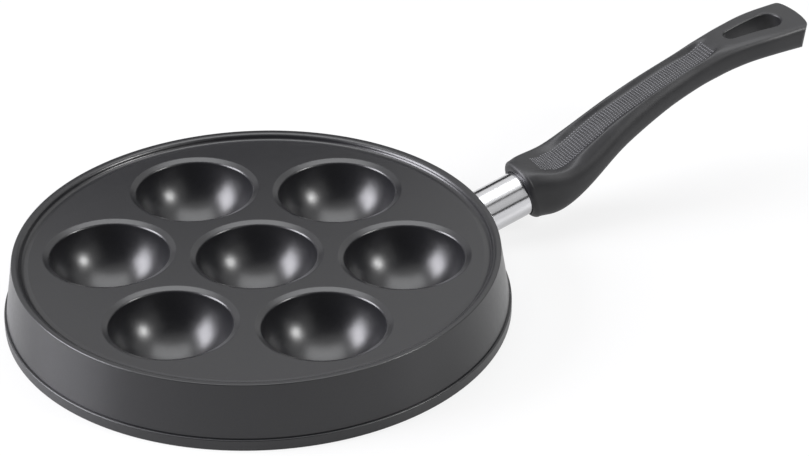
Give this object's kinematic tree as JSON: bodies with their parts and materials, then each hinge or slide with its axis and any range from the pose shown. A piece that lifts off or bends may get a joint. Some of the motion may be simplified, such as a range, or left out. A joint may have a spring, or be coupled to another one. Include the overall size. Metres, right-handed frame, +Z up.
{
  "type": "aebleskiver pan",
  "caption": "Round stovetop pan with hemispherical cups for pancake balls, a flat base cap, a bright tube ferrule and a rising moulded handle with a hanging slot.",
  "frame": {"origin": "centre of the flat base, on the surface that the pan stands on", "axes": "+X from the pan's centre along the handle, +Z up, +Y to the handle's left; the pan's own axis is Z"},
  "size_m": [0.3669, 0.2084, 0.0703],
  "materials": {
    "pan_coating": "satin non-stick coating on drawn steel",
    "base_coating": "satin heat-proof enamel on pressed steel",
    "ferrule_steel": "polished bright plated steel tube",
    "handle_phenolic": "satin moulded phenolic with a strip of fine raised dots",
    "bracket_steel": "plain pressed strap steel",
    "zinc_steel": "zinc-plated fastener steel"
  },
  "bodies": {
    "root": {"pan_shell": "pan_coating", "base_cap": "base_coating", "ferrule": "ferrule_steel", "handle": "handle_phenolic", "handle_bracket": "bracket_steel", "bracket_nut": "zinc_steel", "screw_washer": "zinc_steel", "handle_screw": "zinc_steel"}
  },
  "joints": []
}
